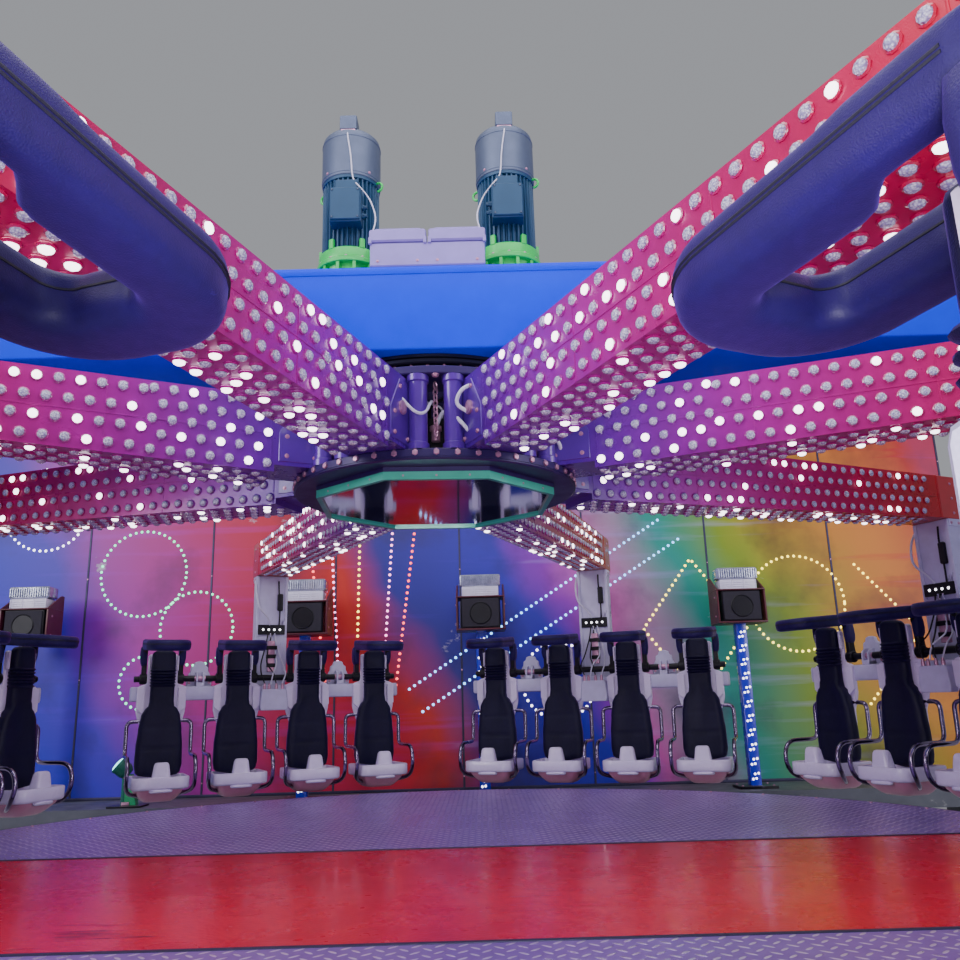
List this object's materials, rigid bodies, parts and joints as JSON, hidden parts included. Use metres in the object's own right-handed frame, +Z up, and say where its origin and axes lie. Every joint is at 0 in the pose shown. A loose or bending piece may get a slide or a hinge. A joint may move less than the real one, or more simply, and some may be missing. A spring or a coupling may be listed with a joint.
{
  "type": "fairground star ride with hanging seat rows",
  "caption": "Fairground ride: a star of lamp-studded arms turns under a beam and carries rows of inward-facing seats with shoulder loops around a round deck before a scenery wall.",
  "frame": {"origin": "on the ground under the hub's axis, on the underside of the ground frame", "axes": "+Z up, +X along the cross beam, +Y from the hub towards the scenery wall"},
  "size_m": [11.7, 9.922, 5.2],
  "materials": {
    "frame_paint": "dark grey painted steel, worn at the edges",
    "deck_plate": "bare chequer plate with tread marks, polished on its crests",
    "walkway_coat": "glossy deep red deck coating, scuffed",
    "beam_paint": "glossy royal blue paint",
    "bearing_steel": "dark oiled steel",
    "drive_paint": "green paint on ribbed castings",
    "cabinet_shell": "off-white moulded cover",
    "hub_paint": "violet gloss paint over steel",
    "pan_mirror": "polished sheet that mirrors the deck",
    "arm_panel": "violet to red graded panel paint under lamp caps",
    "seat_shell": "white moulded shell, satin gloss",
    "pad_vinyl": "black moulded vinyl skin over foam, fine grain",
    "chrome_bar": "bright bent tube",
    "black_steel": "black enamelled steel",
    "wall_print": "painted scenery panels, satin",
    "speaker_cloth": "dark speaker cloth in a framed box",
    "flood_paint": "green painted lamp housing",
    "lamp_cap": "clear faceted lamp caps"
  },
  "bodies": {
    "base": {"ground_frame": "frame_paint", "front_deck": "deck_plate", "red_walkway": "walkway_coat", "rear_deck": "deck_plate", "left_leg": "beam_paint", "right_leg": "beam_paint", "main_beam": "beam_paint", "bearing_housing": "bearing_steel", "left_drive": "drive_paint", "right_drive": "drive_paint", "control_cabinet": "cabinet_shell", "speaker_stack_1": "speaker_cloth", "speaker_stack_2": "speaker_cloth", "speaker_stack_3": "speaker_cloth", "speaker_stack_4": "speaker_cloth", "floodlight": "flood_paint", "wall_panel_1": "wall_print", "wall_panel_2": "wall_print", "wall_panel_3": "wall_print", "wall_panel_4": "wall_print"},
    "star": {"hub_core": "hub_paint", "hub_pan": "pan_mirror", "arm_1": "arm_panel", "arm_2": "arm_panel", "arm_3": "arm_panel", "arm_4": "arm_panel", "arm_5": "arm_panel", "arm_6": "arm_panel", "arm_7": "arm_panel", "arm_8": "arm_panel", "seat_row_1": "seat_shell", "seat_row_2": "seat_shell", "seat_row_3": "seat_shell", "seat_row_4": "seat_shell", "seat_row_5": "seat_shell", "seat_row_6": "seat_shell", "seat_row_7": "seat_shell", "seat_row_8": "seat_shell"},
    "restraint_row_1": {"restraints_1": "pad_vinyl"},
    "restraint_row_2": {"restraints_2": "pad_vinyl"},
    "restraint_row_3": {"restraints_3": "pad_vinyl"},
    "restraint_row_4": {"restraints_4": "pad_vinyl"},
    "restraint_row_5": {"restraints_5": "pad_vinyl"},
    "restraint_row_6": {"restraints_6": "pad_vinyl"},
    "restraint_row_7": {"restraints_7": "pad_vinyl"},
    "restraint_row_8": {"restraints_8": "pad_vinyl"}
  },
  "joints": [
    {"name": "star_spin", "type": "hinge", "parent": "base", "child": "star", "pos_m": [0, 0, 3.15], "axis": [0, 0, 1], "continuous": true},
    {"name": "restraint_1_swing", "type": "hinge", "parent": "star", "child": "restraint_row_1", "pos_m": [3.51723, 1.69651, 1.805], "axis": [0.4344, -0.9007, 0], "range_deg": [0, 70]},
    {"name": "restraint_2_swing", "type": "hinge", "parent": "star", "child": "restraint_row_2", "pos_m": [1.28744, 3.68667, 1.805], "axis": [0.9441, -0.3297, 0], "range_deg": [0, 70]},
    {"name": "restraint_3_swing", "type": "hinge", "parent": "star", "child": "restraint_row_3", "pos_m": [-1.69651, 3.51723, 1.805], "axis": [0.9007, 0.4344, 0], "range_deg": [0, 70]},
    {"name": "restraint_4_swing", "type": "hinge", "parent": "star", "child": "restraint_row_4", "pos_m": [-3.68667, 1.28744, 1.805], "axis": [0.3297, 0.9441, 0], "range_deg": [0, 70]},
    {"name": "restraint_5_swing", "type": "hinge", "parent": "star", "child": "restraint_row_5", "pos_m": [-3.51723, -1.69651, 1.805], "axis": [-0.4344, 0.9007, 0], "range_deg": [0, 70]},
    {"name": "restraint_6_swing", "type": "hinge", "parent": "star", "child": "restraint_row_6", "pos_m": [-1.28744, -3.68667, 1.805], "axis": [-0.9441, 0.3297, 0], "range_deg": [0, 70]},
    {"name": "restraint_7_swing", "type": "hinge", "parent": "star", "child": "restraint_row_7", "pos_m": [1.69651, -3.51723, 1.805], "axis": [-0.9007, -0.4344, 0], "range_deg": [0, 70]},
    {"name": "restraint_8_swing", "type": "hinge", "parent": "star", "child": "restraint_row_8", "pos_m": [3.68667, -1.28744, 1.805], "axis": [-0.3297, -0.9441, 0], "range_deg": [0, 70]}
  ]
}
